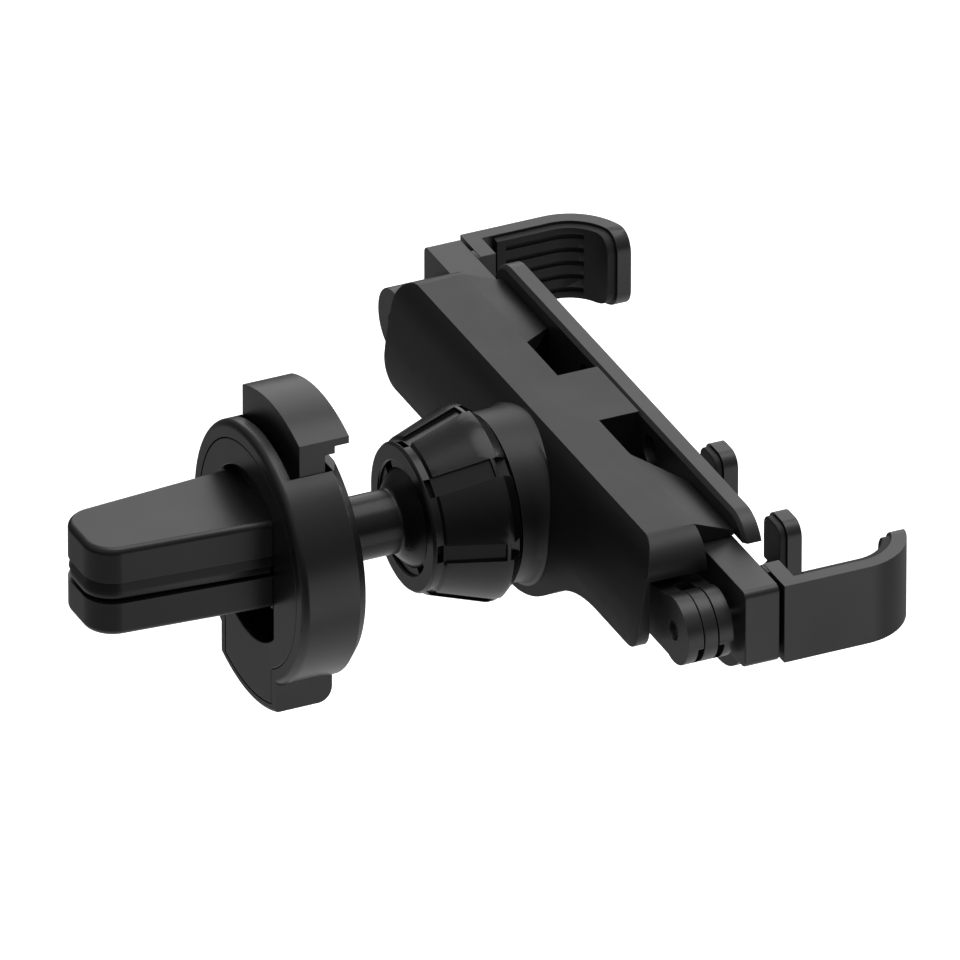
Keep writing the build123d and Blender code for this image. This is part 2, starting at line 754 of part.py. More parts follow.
def arm():
    """Hooked arm: a flange on the slide, a straight wall and a tip that curls in front of the phone."""
    height = arm_top - arm_bottom
    wall = extrude(arm_plan(0, arm_wall, arm_flange_depth, arm_tip_inner), amount=height)
    wall = Pos(0, 0, arm_bottom) * wall
    flange = block((arm_flange_inner, arm_outer - arm_wall / 2),
                   (arm_flange_depth, arm_flange_depth + arm_flange_thickness), (arm_bottom, arm_top))
    seat = block((arm_flange_inner, arm_flange_inner + arm_seat_width), (slide_front_depth, arm_flange_depth),
                 (slide_bottom, slide_top))
    hook = wall + flange
    tip = hook.edges().filter_by(Axis.Y).filter_by(lambda edge: edge.center().X < arm_tip_inner + 0.1)
    hook = fillet(tip, arm_tip_corner)
    return hook + seat


def arm_pad():
    """Rubber lining of the arm, with grooves that run along the curl."""
    outer = arm_wall
    inner = arm_wall + arm_pad_thickness
    low = arm_bottom + arm_pad_margin
    height = arm_top - arm_bottom - 2 * arm_pad_margin
    end_side = arm_tip_inner + arm_pad_tip_gap
    end_side = min(end_side, arm_outer - arm_bend_radius - 0.1)
    pad = Pos(0, 0, low) * extrude(arm_plan(outer, inner, arm_pad_start_depth, end_side), amount=height)
    outline = Pos(end_side + arm_outer / 2, low + height / 2) * Rectangle(arm_outer, height)
    outline = fillet(outline.vertices().group_by(Axis.X)[0], arm_tip_corner - arm_pad_margin)
    pad &= prism(outline, arm_pad_start_depth, 2 * arm_outer)
    groove_start = arm_pad_start_depth + arm_pad_border
    plan = arm_plan(inner - arm_pad_groove, inner + arm_pad_groove, groove_start, end_side)
    half_bend = arm_straight_depth + (arm_bend_radius - inner) * sin(radians(45))
    pitch = (height - 2 * arm_pad_border) / (arm_pad_groove_count - 1)
    for number in range(arm_pad_groove_count):
        z = low + arm_pad_border + number * pitch - arm_pad_groove_width / 2
        groove = Pos(0, 0, z) * extrude(plan, amount=arm_pad_groove_width)
        pad -= groove & block((0, 2 * arm_outer), (groove_start, half_bend), (2 * arm_bottom, 2 * arm_top))
    return pad


# Knuckles and links, drawn on the right side

def knuckle_block():
    """Middle leaf of the knuckle, carried by the pin that stands on the arm slide."""
    outline = Pos(knuckle_side, knuckle_height) * (Circle(knuckle_radius) - Circle(knuckle_pin_radius))
    return prism(outline, block_depth, block_thickness)


def knuckle_pin():
    start = ear_back_depth + ear_back_thickness / 3
    end = (slide_back_depth + slide_front_depth) / 2
    return rod(knuckle_side, knuckle_height, knuckle_pin_radius, start, end - start)


def link():
    """Forked link from the knuckle to the slotted eye on the foot slide's pin."""
    knuckle = (knuckle_side, knuckle_height)
    eye = (link_pin_side, link_pin_height)
    half_root = knuckle_radius - link_root_inset
    bar = make_face(Polyline(
        (knuckle[0], knuckle[1] - half_root), (knuckle[0], knuckle[1] + half_root),
        (knuckle[0] - link_neck, knuckle[1] + link_neck_half_height),
        (eye[0], eye[1] + link_eye_radius), (eye[0], eye[1] - link_eye_radius),
        (knuckle[0] - link_neck, knuckle[1] - half_root), close=True))
    outline = bar + Pos(*knuckle) * Circle(knuckle_radius) + Pos(*eye) * Circle(link_eye_radius)
    length = ear_front_depth + ear_front_thickness - ear_back_depth
    body = prism(outline, ear_back_depth, length)
    slot_half_height = 2 * knuckle_radius
    body -= block((knuckle_side - knuckle_radius - fork_clearance, knuckle_side + 2 * knuckle_radius),
                  (ear_back_depth + ear_back_thickness, ear_front_depth),
                  (knuckle_height - slot_half_height, knuckle_height + slot_half_height))
    # Small windows beside the leaf, in the lower half of each ear's rim
    rim = knuckle_side + knuckle_radius
    for seam in (ear_back_depth + ear_back_thickness - fork_notch_width, ear_front_depth):
        body -= block((rim - fork_notch_depth - knuckle_radius / 4, 2 * rim), (seam, seam + fork_notch_width),
                      (knuckle_height + fork_notch_bottom, knuckle_height + fork_notch_top))
    body -= rod(knuckle_side, knuckle_height, knuckle_pin_radius + pivot_clearance, ear_back_depth, length)
    body -= prism(link_slot(), ear_back_depth, length)
    return body


def link_slot():
    """Slot that the foot slide's pin runs along while the arm and the link follow it."""
    nearest, farthest, slack = slot_path()
    middle = (nearest + farthest) / 2
    length = farthest - nearest + 2 * (link_pin_radius + slack)
    angle = 180 + link_rest_degrees
    slot = SlotOverall(length, 2 * (link_pin_radius + slack))
    return Pos(knuckle_side, knuckle_height) * Rot(0, 0, angle) * Pos(middle, 0) * slot


def slot_path():
    """Nearest and farthest place of the foot pin along the link, and the slack it needs sideways."""
    lengths = []
    sideways = []
    steps = 24
    for step in range(steps + 1):
        part = step / steps
        across = knuckle_side - link_pin_side - part * arm_travel
        down = knuckle_height - link_pin_height + part * foot_travel
        span = hypot(across, down)
        turn = degrees(atan2(down, across)) - link_rest_degrees - part * link_turn_degrees
        lengths.append(span * cos(radians(turn)))
        sideways.append(abs(span * sin(radians(turn))))
    return min(lengths), max(lengths), max(sideways) + link_slot_slack


# Foot slide

def foot_slide():
    """Sliding carriage behind the plate with two hooked feet that carry the phone."""
    front = slide_front_depth
    thickness = front - foot_plate_depth
    wing_top = link_pin_height + foot_wing_rise
    wing_low = link_pin_height - foot_wing_drop
    floor = foot_shelf_top - foot_shelf_thickness
    outline = Pos(0, (wing_top + wing_low) / 2) * Rectangle(2 * foot_wing_half_width, wing_top - wing_low)
    outline += Pos(0, (wing_top + floor) / 2) * Rectangle(2 * foot_web_half_width, wing_top - floor)
    carriage = prism(outline, foot_plate_depth, thickness)
    for side in (-1, 1):
        carriage += foot_hook(side * foot_side, floor)
        carriage -= rod(side * link_pin_side, link_pin_height, link_pin_radius, foot_plate_depth, thickness / 2)
    peg_height = spring_bottom() - spring_peg_radius
    peg_start = spring_depth - return_spring_radius - return_spring_wire
    carriage += rod(0, peg_height, spring_peg_radius, peg_start, foot_plate_depth - peg_start)
    return carriage


def spring_bottom():
    """Height of the return spring's lower end, above the foot slide's peg."""
    return housing_bell_bottom + spring_peg_radius


def foot_hook(side, floor):
    start = foot_plate_depth
    left = side - foot_width / 2
    right = side + foot_width / 2
    shelf = block((left, right), (start, foot_front_depth), (floor, foot_shelf_top))
    upright = Pos(side, (floor + foot_top) / 2) * Rectangle(foot_width, foot_top - floor)
    upright = fillet(upright.vertices().group_by(Axis.Y)[-1], foot_corner)
    upstand = prism(upright, foot_front_depth - foot_thickness, foot_thickness)
    hook = shelf + upstand
    root = hook.edges().filter_by(Axis.X).filter_by(
        lambda edge: abs(edge.center().Z - foot_shelf_top) < 0.1
        and abs(edge.center().Y - (disc_face - foot_front_depth + foot_thickness)) < 0.1)
    hook = fillet(root, foot_gusset)
    toe = hook.edges().filter_by(Axis.X).filter_by(
        lambda edge: abs(edge.center().Z - floor) < 0.1 and edge.center().Y < disc_face - foot_front_depth + 0.1)
    return fillet(toe, foot_gusset)


def foot_pad(side):
    low = foot_shelf_top + foot_gusset + 0.2
    high = foot_top - foot_pad_margin
    outline = Pos(side * foot_side, (low + high) / 2) * Rectangle(foot_width - 2 * foot_pad_margin, high - low)
    outline = fillet(outline.vertices().group_by(Axis.Y)[-1], foot_corner - foot_pad_margin)
    return prism(outline, foot_front_depth - foot_thickness - foot_pad_thickness, foot_pad_thickness)


def link_pin():
    end = (foot_plate_depth + slide_front_depth) / 2
    return rod(link_pin_side, link_pin_height, link_pin_radius, ear_back_depth, end - ear_back_depth)


def return_spring():
    return spring(return_spring_radius, return_spring_wire, return_spring_turns,
                  spring_bottom(), pillar_bottom, spring_depth)


parts = {
    "clip_housing": clip_housing(),
    "clip_cover": clip_cover(),
    "upper_jaw": upper_jaw(),
    "upper_jaw_pad": upper_jaw_pad(),
    "upper_jaw_pin": upper_jaw_pin(),
    "lower_jaw": lower_jaw(),
    "lower_jaw_pad": lower_jaw_pad(),
    "lower_jaw_pin": lower_jaw_pin(),
    "thumb_button": thumb_button(),
    "button_spring": button_spring(),
    "ball_stud": ball_stud(),
    "ball_claws": ball_claws(),
    "ball_seat": ball_seat(),
    "ball_nut": ball_nut(),
    "rear_housing": rear_housing(),
    "front_plate": front_plate(),
    "rest_pad": rest_pad(),
    "foot_slide": foot_slide(),
    "foot_pad_right": foot_pad(1),
    "foot_pad_left": foot_pad(-1),
    "return_spring": return_spring(),
}
sided = {
    "arm_slide": arm_slide(), "arm": arm(), "arm_pad": arm_pad(), "knuckle_block": knuckle_block(),
    "knuckle_pin": knuckle_pin(), "link": link(), "link_pin": link_pin(), "housing_screw": housing_screw(),
}
for name, solid in sided.items():
    parts[name + "_right"] = solid
    parts[name + "_left"] = mirrored(solid)

# The pieces are drawn about the axis of the disc and the ball. Here the origin moves up between the jaws
os.makedirs("parts", exist_ok=True)
for name in parts:
    parts[name] = Pos(0, 0, -jaw_gap_height) * parts[name]
    export_step(parts[name], f"parts/{name}.step")
print("nodes:", len(parts))
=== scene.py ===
import json
import math

import bmesh
import bpy
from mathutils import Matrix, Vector


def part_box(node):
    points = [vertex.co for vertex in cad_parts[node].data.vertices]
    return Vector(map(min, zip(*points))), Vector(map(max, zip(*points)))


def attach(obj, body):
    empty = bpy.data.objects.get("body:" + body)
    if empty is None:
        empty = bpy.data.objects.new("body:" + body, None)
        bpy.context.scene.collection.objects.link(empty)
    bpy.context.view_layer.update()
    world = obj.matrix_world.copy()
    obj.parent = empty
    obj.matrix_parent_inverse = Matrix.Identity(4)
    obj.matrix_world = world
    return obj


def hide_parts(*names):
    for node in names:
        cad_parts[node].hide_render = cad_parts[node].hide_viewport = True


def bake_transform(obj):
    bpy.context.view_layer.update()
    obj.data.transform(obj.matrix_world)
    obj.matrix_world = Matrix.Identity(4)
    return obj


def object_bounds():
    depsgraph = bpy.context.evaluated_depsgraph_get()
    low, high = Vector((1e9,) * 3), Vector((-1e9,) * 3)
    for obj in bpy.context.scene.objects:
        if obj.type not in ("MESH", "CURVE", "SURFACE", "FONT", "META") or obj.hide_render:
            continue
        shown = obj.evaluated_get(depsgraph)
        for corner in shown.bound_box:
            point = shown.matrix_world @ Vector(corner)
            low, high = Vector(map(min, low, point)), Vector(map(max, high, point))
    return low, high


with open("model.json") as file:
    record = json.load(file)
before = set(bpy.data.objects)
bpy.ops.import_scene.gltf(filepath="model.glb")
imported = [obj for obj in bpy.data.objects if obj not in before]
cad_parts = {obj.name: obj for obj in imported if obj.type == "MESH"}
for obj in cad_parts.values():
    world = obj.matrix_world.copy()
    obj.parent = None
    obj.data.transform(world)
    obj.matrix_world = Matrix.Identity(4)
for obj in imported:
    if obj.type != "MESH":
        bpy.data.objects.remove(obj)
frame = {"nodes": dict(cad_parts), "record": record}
cadBox = [list(corner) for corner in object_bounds()]
nodes = frame["nodes"]
bodyOf = {}
for body, members in frame["record"]["behaviour"]["bodies"].items():
    bodyOf.update({node: body for node in members})
slotOf = {part["node"]: part["material_slot"] for part in frame["record"]["subparts"]}
print("frame loaded:", len(nodes), "nodes")

# The photo is nearly parallel, and looks from the vent's side, above and to the left (-X) of the clip
view = {
    "azimuth": 245.5, "elevation": 30.0, "target": (0.0048, -0.0502, -0.0014),
    "pixelsPerMetre": 7700.0, "imageSize": 960,
    "lens": 1200.0, "sensor": 36.0, "nearest": 0.1, "farthest": 60.0,
}
studio = {
    # Height, from 0 straight below to 1 straight above, and brightness
    "sky": [(0.00, 0.95), (0.14, 0.75), (0.25, 0.27), (0.42, 0.06), (0.58, 0.10), (0.75, 0.26), (0.95, 0.60)],
    "backdrop": 1.0,
    "floorDrop": 0.45, "floorSize": 30.0, "floorTint": 0.9, "floorRoughness": 0.9, "floorGlow": 0.8,
}
lamps = {
    "overhead": {"place": (0.1, -0.3, 1.3), "size": 1.1, "power": 7.0},
    "far": {"place": (1.45, -0.66, 0.74), "size": 1.5, "power": 7.5},
    "side": {"place": (-0.75, -0.35, -0.25), "size": 0.6, "power": 0.9},
    "front": {"place": (0.15, -1.5, 0.05), "size": 1.0, "power": 6.0},
}


def addObject(name, data):
    thing = bpy.data.objects.new(name, data)
    bpy.context.scene.collection.objects.link(thing)
    return thing


def aim(thing, direction):
    thing.rotation_mode = "QUATERNION"
    thing.rotation_quaternion = direction.to_track_quat("-Z", "Y")


def grey(level):
    return (level, level, level, 1)


def addCamera():
    turn, rise = math.radians(view["azimuth"]), math.radians(view["elevation"])
    back = Vector((math.sin(turn) * math.cos(rise), -math.cos(turn) * math.cos(rise), math.sin(rise)))
    width = view["imageSize"] / view["pixelsPerMetre"]
    data = bpy.data.cameras.new("photoCamera")
    data.lens, data.sensor_width = view["lens"], view["sensor"]
    data.clip_start, data.clip_end = view["nearest"], view["farthest"]
    camera = addObject("photoCamera", data)
    camera.location = Vector(view["target"]) + back * (width * data.lens / data.sensor_width)
    aim(camera, -back)
    bpy.context.scene.camera = camera


def addSky():
    # Pale below, dark around the horizon and brighter above, as in a white sweep under a soft box
    world = bpy.data.worlds.new("softStudio")
    world.use_nodes = True
    world.node_tree.nodes.clear()
    make, link = world.node_tree.nodes.new, world.node_tree.links.new
    place, split = make("ShaderNodeTexCoord"), make("ShaderNodeSeparateXYZ")
    shift, ramp = make("ShaderNodeMapRange"), make("ShaderNodeValToRGB")
    shift.inputs["From Min"].default_value = -1.0
    shift.inputs["From Max"].default_value = 1.0
    stops = ramp.color_ramp.elements
    stops.remove(stops[1])
    for index, (height, level) in enumerate(studio["sky"]):
        stop = stops[0] if index == 0 else stops.new(height)
        stop.position, stop.color = height, grey(level)
    # The camera itself sees a plain pale backdrop beyond the floor's edge
    seen, choose = make("ShaderNodeLightPath"), make("ShaderNodeMixShader")
    glow, pale = make("ShaderNodeBackground"), make("ShaderNodeBackground")
    pale.inputs["Color"].default_value = grey(studio["backdrop"])
    out = make("ShaderNodeOutputWorld")
    link(place.outputs["Generated"], split.inputs[0])
    link(split.outputs["Z"], shift.inputs["Value"])
    link(shift.outputs[0], ramp.inputs[0])
    link(ramp.outputs[0], glow.inputs["Color"])
    link(seen.outputs["Is Camera Ray"], choose.inputs[0])
    link(glow.outputs[0], choose.inputs[1])
    link(pale.outputs[0], choose.inputs[2])
    link(choose.outputs[0], out.inputs[0])
    bpy.context.scene.world = world


def addFloor():
    # Far below the hanging holder; it lights nothing, so that the black plastic keeps its depth
    mesh = bpy.data.meshes.new("floor")
    half = studio["floorSize"] / 2
    corners = [(-half, -half, 0), (half, -half, 0), (half, half, 0), (-half, half, 0)]
    mesh.from_pydata(corners, [], [(0, 1, 2, 3)])
    floor = addObject("floor", mesh)
    floor.location.z = cadBox[0][2] - studio["floorDrop"]
    floor.visible_glossy = False
    floor.visible_diffuse = False
    paint = bpy.data.materials.new("paleFloor")
    paint.use_nodes = True
    shader = paint.node_tree.nodes["Principled BSDF"]
    shader.inputs["Base Color"].default_value = grey(studio["floorTint"])
    shader.inputs["Roughness"].default_value = studio["floorRoughness"]
    shader.inputs["Emission Color"].default_value = grey(1.0)
    shader.inputs["Emission Strength"].default_value = studio["floorGlow"]
    mesh.materials.append(paint)


def addLamps():
    # Round soft boxes, all aimed at the middle of the picture
    centre = Vector(view["target"])
    for name, lamp in lamps.items():
        data = bpy.data.lights.new(name + "Light", "AREA")
        data.shape, data.size, data.energy = "DISK", lamp["size"], lamp["power"]
        light = addObject(name + "Light", data)
        light.location = centre + Vector(lamp["place"])
        light.visible_camera = False
        aim(light, centre - light.location)


addCamera()
addSky()
addFloor()
addLamps()
bpy.context.scene.view_settings.view_transform = "Standard"
print("camera and studio ready")

# Painted highlights along the edges, and moulded grain, which every finish shares
surface = {
    "edgeRadius": 0.00025, "edgeSamples": 4, "edgeStart": 0.995, "edgeFull": 0.80,
    "grainDetail": 3.0, "bumpDepth": 0.0001,
    "cloudSize": 90.0, "cloudDetail": 2.0, "cloudLow": 0.3, "cloudHigh": 0.7,
    "baseBlue": 1.04, "edgeBlue": 1.03,
}


def addSocket(tree, name, direction, kind="NodeSocketFloat"):
    return tree.interface.new_socket(name=name, in_out=direction, socket_type=kind)


def makeEdgeGroup():
    # Compares the rounded normal with the real one: a thin mask along every edge, where a painted highlight
    # goes
    tree = bpy.data.node_groups.new("edgeShine", "ShaderNodeTree")
    addSocket(tree, "Radius", "INPUT")
    addSocket(tree, "Mask", "OUTPUT")
    make, link = tree.nodes.new, tree.links.new
    into, out = make("NodeGroupInput"), make("NodeGroupOutput")
    soft, real = make("ShaderNodeBevel"), make("ShaderNodeNewGeometry")
    dot, spread = make("ShaderNodeVectorMath"), make("ShaderNodeMapRange")
    soft.samples = surface["edgeSamples"]
    dot.operation = "DOT_PRODUCT"
    spread.inputs["From Min"].default_value = surface["edgeStart"]
    spread.inputs["From Max"].default_value = surface["edgeFull"]
    link(into.outputs["Radius"], soft.inputs["Radius"])
    link(soft.outputs[0], dot.inputs[0])
    link(real.outputs["Normal"], dot.inputs[1])
    link(dot.outputs["Value"], spread.inputs["Value"])
    link(spread.outputs[0], out.inputs["Mask"])
    return tree


def makeGrainGroup():
    # Fine moulded texture for the bump, and slow clouds for the gloss
    tree = bpy.data.node_groups.new("mouldGrain", "ShaderNodeTree")
    for name in ("Grain Size", "Cloud Size", "Gloss Low", "Gloss High"):
        addSocket(tree, name, "INPUT")
    for name in ("Height", "Roughness"):
        addSocket(tree, name, "OUTPUT")
    make, link = tree.nodes.new, tree.links.new
    into, out = make("NodeGroupInput"), make("NodeGroupOutput")
    place, gloss = make("ShaderNodeTexCoord"), make("ShaderNodeMapRange")
    fine, slow = make("ShaderNodeTexNoise"), make("ShaderNodeTexNoise")
    fine.inputs["Detail"].default_value = surface["grainDetail"]
    slow.inputs["Detail"].default_value = surface["cloudDetail"]
    gloss.inputs["From Min"].default_value = surface["cloudLow"]
    gloss.inputs["From Max"].default_value = surface["cloudHigh"]
    for texture, size in ((fine, "Grain Size"), (slow, "Cloud Size")):
        link(place.outputs["Object"], texture.inputs["Vector"])
        link(into.outputs[size], texture.inputs["Scale"])
    link(slow.outputs["Fac"], gloss.inputs["Value"])
    link(into.outputs["Gloss Low"], gloss.inputs["To Min"])
    link(into.outputs["Gloss High"], gloss.inputs["To Max"])
    link(fine.outputs["Fac"], out.inputs["Height"])
    link(gloss.outputs[0], out.inputs["Roughness"])
    return tree


edgeGroup = makeEdgeGroup()
grainGroup = makeGrainGroup()

# Each finish's "edge" value is the lighter colour of its painted edge highlight
finishes = {
    "housing_plastic": {"color": 0.0105, "edge": 0.035, "gloss": (0.40, 0.46), "grain": 5200, "bump": 0.05,
                        "specular": 0.40},
    "arm_plastic": {"color": 0.0125, "edge": 0.040, "gloss": (0.36, 0.43), "grain": 5200, "bump": 0.04,
                    "specular": 0.57},
    "clip_plastic": {"color": 0.0085, "edge": 0.030, "gloss": (0.30, 0.37), "grain": 4600, "bump": 0.03},
    "jaw_plastic": {"color": 0.0095, "edge": 0.032, "gloss": (0.30, 0.36), "grain": 4600, "bump": 0.03,
                    "specular": 0.42},
    "nut_plastic": {"color": 0.0055, "edge": 0.026, "gloss": (0.22, 0.29), "grain": 4600, "bump": 0.03,
                    "specular": 0.36},
    "stud_plastic": {"color": 0.0075, "edge": 0.025, "gloss": (0.24, 0.30), "grain": 4600, "bump": 0.02,
                     "specular": 0.32},
    "link_plastic": {"color": 0.0125, "edge": 0.040, "gloss": (0.36, 0.43), "grain": 5200, "bump": 0.04,
                     "specular": 0.60},
    "liner_acetal": {"color": 0.0100, "edge": 0.030, "gloss": (0.26, 0.32), "grain": 3600, "bump": 0.02},
    "rubber": {"color": 0.0065, "edge": 0.016, "gloss": (0.62, 0.74), "grain": 7000, "bump": 0.10},
    "pin_steel": {"color": 0.42, "edge": 0.60, "gloss": (0.22, 0.34), "grain": 3000, "bump": 0.03,
                  "metal": 1.0},
    "spring_steel": {"color": 0.38, "edge": 0.55, "gloss": (0.20, 0.30), "grain": 3000, "bump": 0.02,
                     "metal": 1.0},
    "screw_steel": {"color": 0.045, "edge": 0.16, "gloss": (0.30, 0.42), "grain": 3000, "bump": 0.03,
                    "metal": 0.8},
}


def makeFinish(name, look):
    paint = bpy.data.materials.new(name)
    paint.use_nodes = True
    make, link = paint.node_tree.nodes.new, paint.node_tree.links.new
    shader = paint.node_tree.nodes["Principled BSDF"]
    for key, socket in (("metal", "Metallic"), ("specular", "Specular IOR Level")):
        if key in look:
            shader.inputs[socket].default_value = look[key]
    edge, grain = make("ShaderNodeGroup"), make("ShaderNodeGroup")
    edge.node_tree, grain.node_tree = edgeGroup, grainGroup
    edge.inputs["Radius"].default_value = surface["edgeRadius"]
    grain.inputs["Grain Size"].default_value = look["grain"]
    grain.inputs["Cloud Size"].default_value = surface["cloudSize"]
    grain.inputs["Gloss Low"].default_value = look["gloss"][0]
    grain.inputs["Gloss High"].default_value = look["gloss"][1]
    tint, bump = make("ShaderNodeMix"), make("ShaderNodeBump")
    tint.data_type = "RGBA"
    # The edge mask blends in a lighter colour: a painted highlight along the edges
    base, highlightLevel = look["color"], look["edge"]
    tint.inputs["A"].default_value = (base, base, base * surface["baseBlue"], 1)
    tint.inputs["B"].default_value = (highlightLevel, highlightLevel, highlightLevel * surface["edgeBlue"], 1)
    bump.inputs["Strength"].default_value = look["bump"]
    bump.inputs["Distance"].default_value = surface["bumpDepth"]
    link(edge.outputs["Mask"], tint.inputs["Factor"])
    link(tint.outputs["Result"], shader.inputs["Base Color"])
    link(grain.outputs["Roughness"], shader.inputs["Roughness"])
    link(grain.outputs["Height"], bump.inputs["Height"])
    link(bump.outputs[0], shader.inputs["Normal"])
    return paint


materials = {name: makeFinish(name, look) for name, look in finishes.items()}
for name, node in nodes.items():
    node.data.materials.clear()
    node.data.materials.append(materials[slotOf[name]])
print("finishes ready:", len(materials))

# The upper jaw's side draws in just above its lower edge, and a lip below that edge runs round the liner
jawEdge = {
    "node": "upper_jaw", "face": -0.0150, "reach": 0.0242, "rootHalf": 0.0078, "tipHalf": 0.0058,
    "corner": 0.0042, "cornerPoints": 10, "tolerance": 1e-6,
    "steps": [(0.00150, 0.0), (0.00146, 0.00042), (0.0, 0.00010)],  # height above the edge, inset
    "lipHeight": 0.00105, "lipOuter": 0.00012, "lipInner": 0.00070, "lipRounding": 0.00012, "lipGap": 0.0001,
}
rounding = {"segments": 2, "sharpDegrees": 28.0, "flatDegrees": 0.05, "flatWeight": 100, "weld": 1e-7}


def drawInJaw(shape):
    face, tolerance = jawEdge["face"], jawEdge["tolerance"]
    low = min(vert.co.z for vert in shape.verts)
    for step in jawEdge["steps"][:-1]:
        bmesh.ops.bisect_plane(shape, geom=shape.verts[:] + shape.edges[:] + shape.faces[:],
                               dist=rounding["weld"], plane_co=(0, 0, low + step[0]), plane_no=(0, 0, 1))
    for vert in shape.verts:
        insets = [step[1] for step in jawEdge["steps"] if abs(vert.co.z - low - step[0]) < tolerance]
        if not insets or vert.co.y < face - tolerance:
            continue
        # Each point moves in from the side or the tip, and at a corner towards the corner's centre
        y = min(vert.co.y, face + jawEdge["reach"] - jawEdge["corner"])
        share = (y - face) / jawEdge["reach"]
        half = jawEdge["rootHalf"] + (jawEdge["tipHalf"] - jawEdge["rootHalf"]) * share - jawEdge["corner"]
        away = Vector((vert.co.x - max(-half, min(half, vert.co.x)), vert.co.y - y, 0))
        if away.length > tolerance:
            vert.co -= away.normalized() * insets[0]


def weldedCopy(node, name):
    # A solid comes as loose triangles, which are joined into whole faces
    shape = bmesh.new()
    shape.from_mesh(nodes[node].data)
    bmesh.ops.remove_doubles(shape, verts=shape.verts, dist=rounding["weld"])
    bmesh.ops.dissolve_limit(shape, angle_limit=math.radians(rounding["flatDegrees"]), verts=shape.verts,
                             edges=shape.edges)
    if node == jawEdge["node"]:
        drawInJaw(shape)
    for face in shape.faces:
        face.smooth = True
    mesh = bpy.data.meshes.new(name)
    shape.to_mesh(mesh)
    shape.free()
    return mesh


def addRounding(piece, width):
    bevel = piece.modifiers.new("rounding", "BEVEL")
    bevel.width, bevel.segments = width, rounding["segments"]
    bevel.limit_method, bevel.angle_limit = "ANGLE", math.radians(rounding["sharpDegrees"])
    return bevel


def settle(piece):
    # What the modifiers make becomes the piece's own plain mesh, smooth all over
    graph = bpy.context.evaluated_depsgraph_get()
    mesh = bpy.data.meshes.new_from_object(piece.evaluated_get(graph))
    for face in mesh.polygons:
        face.use_smooth = True
    piece.modifiers.clear()
    piece.data = mesh
    return mesh


def markSharp(mesh):
    shape = bmesh.new()
    shape.from_mesh(mesh)
    limit = math.radians(rounding["sharpDegrees"])
    for edge in shape.edges:
        edge.smooth = len(edge.link_faces) == 2 and edge.calc_face_angle(0) < limit
    shape.to_mesh(mesh)
    shape.free()


# Moulded pieces: welded copies of their solids, with edges rounded by this width, as a mould leaves them
moulded = {
    "clip_housing": 0.00035, "clip_cover": 0.00020, "upper_jaw": 0.00025, "lower_jaw": 0.00025,
    "upper_jaw_pad": 0.00020, "lower_jaw_pad": 0.00020, "thumb_button": 0.00030, "ball_stud": 0.00020,
    "ball_claws": 0.00015, "ball_nut": 0.00020, "rear_housing": 0.00030, "front_plate": 0.00030,
    "rest_pad": 0.00012, "foot_slide": 0.00025, "foot_pad_left": 0.00020, "foot_pad_right": 0.00020,
}
for side in ("left", "right"):
    moulded.update({
        "arm_slide_" + side: 0.00025, "arm_" + side: 0.00030, "arm_pad_" + side: 0.00012,
        "knuckle_block_" + side: 0.00015, "link_" + side: 0.00020,
    })


def mouldPiece(node, width):
    piece = addObject(node + "_moulded", weldedCopy(node, node + "_moulded"))
    addRounding(piece, width).miter_outer = "MITER_ARC"
    markSharp(settle(piece))
    # Large faces lead the shading, so that the flats stay flat and only the roundings turn
    even = piece.modifiers.new("evenShading", "WEIGHTED_NORMAL")
    even.mode, even.weight, even.keep_sharp = "FACE_AREA", rounding["flatWeight"], True
    mesh = settle(piece)
    mesh.materials.clear()
    mesh.materials.append(materials[slotOf[node]])
    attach(piece, bodyOf[node])
    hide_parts(node)


for node, width in moulded.items():
    mouldPiece(node, width)
print("moulded pieces:", len(moulded))

# Each spring becomes a welded copy in its solid's place; the bodies its ends rest on (the first holds the
# fixed end) are listed, but the copy is not attached to them
springs = {
    "button_spring": {"bodies": ("clip", "button_body"), "fixedEnd": "bottom"},
    "return_spring": {"bodies": ("cradle", "foot_body"), "fixedEnd": "top"},
}


def addSpring(node, look):
    mesh = weldedCopy(node, node + "_coil")
    markSharp(mesh)
    mesh.materials.append(materials[slotOf[node]])
    piece = addObject(node + "_coil", mesh)
    low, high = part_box(node)
    x, y = (low[0] + high[0]) / 2, (low[1] + high[1]) / 2
    ends = [(x, y, low[2]), (x, y, high[2])]
    if look["fixedEnd"] == "top":
        ends.reverse()
    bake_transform(piece)
    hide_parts(node)


for node, look in springs.items():
    addSpring(node, look)
print("springs:", len(springs))


def jawOutline(inset):
    # From the root along one side, round the tip and back along the other side
    root, tip = jawEdge["rootHalf"] - inset, jawEdge["tipHalf"] - inset
    end, corner = jawEdge["face"] + jawEdge["reach"] - inset, jawEdge["corner"] - inset
    count = jawEdge["cornerPoints"]
    turns = [math.pi / 2 * number / count for number in range(count + 1)]
    right = [(root, jawEdge["face"] + jawEdge["lipGap"])]
    right += [(tip - corner * (1 - math.cos(turn)), end - corner * (1 - math.sin(turn))) for turn in turns]
    return right + [(-x, y) for x, y in reversed(right)]


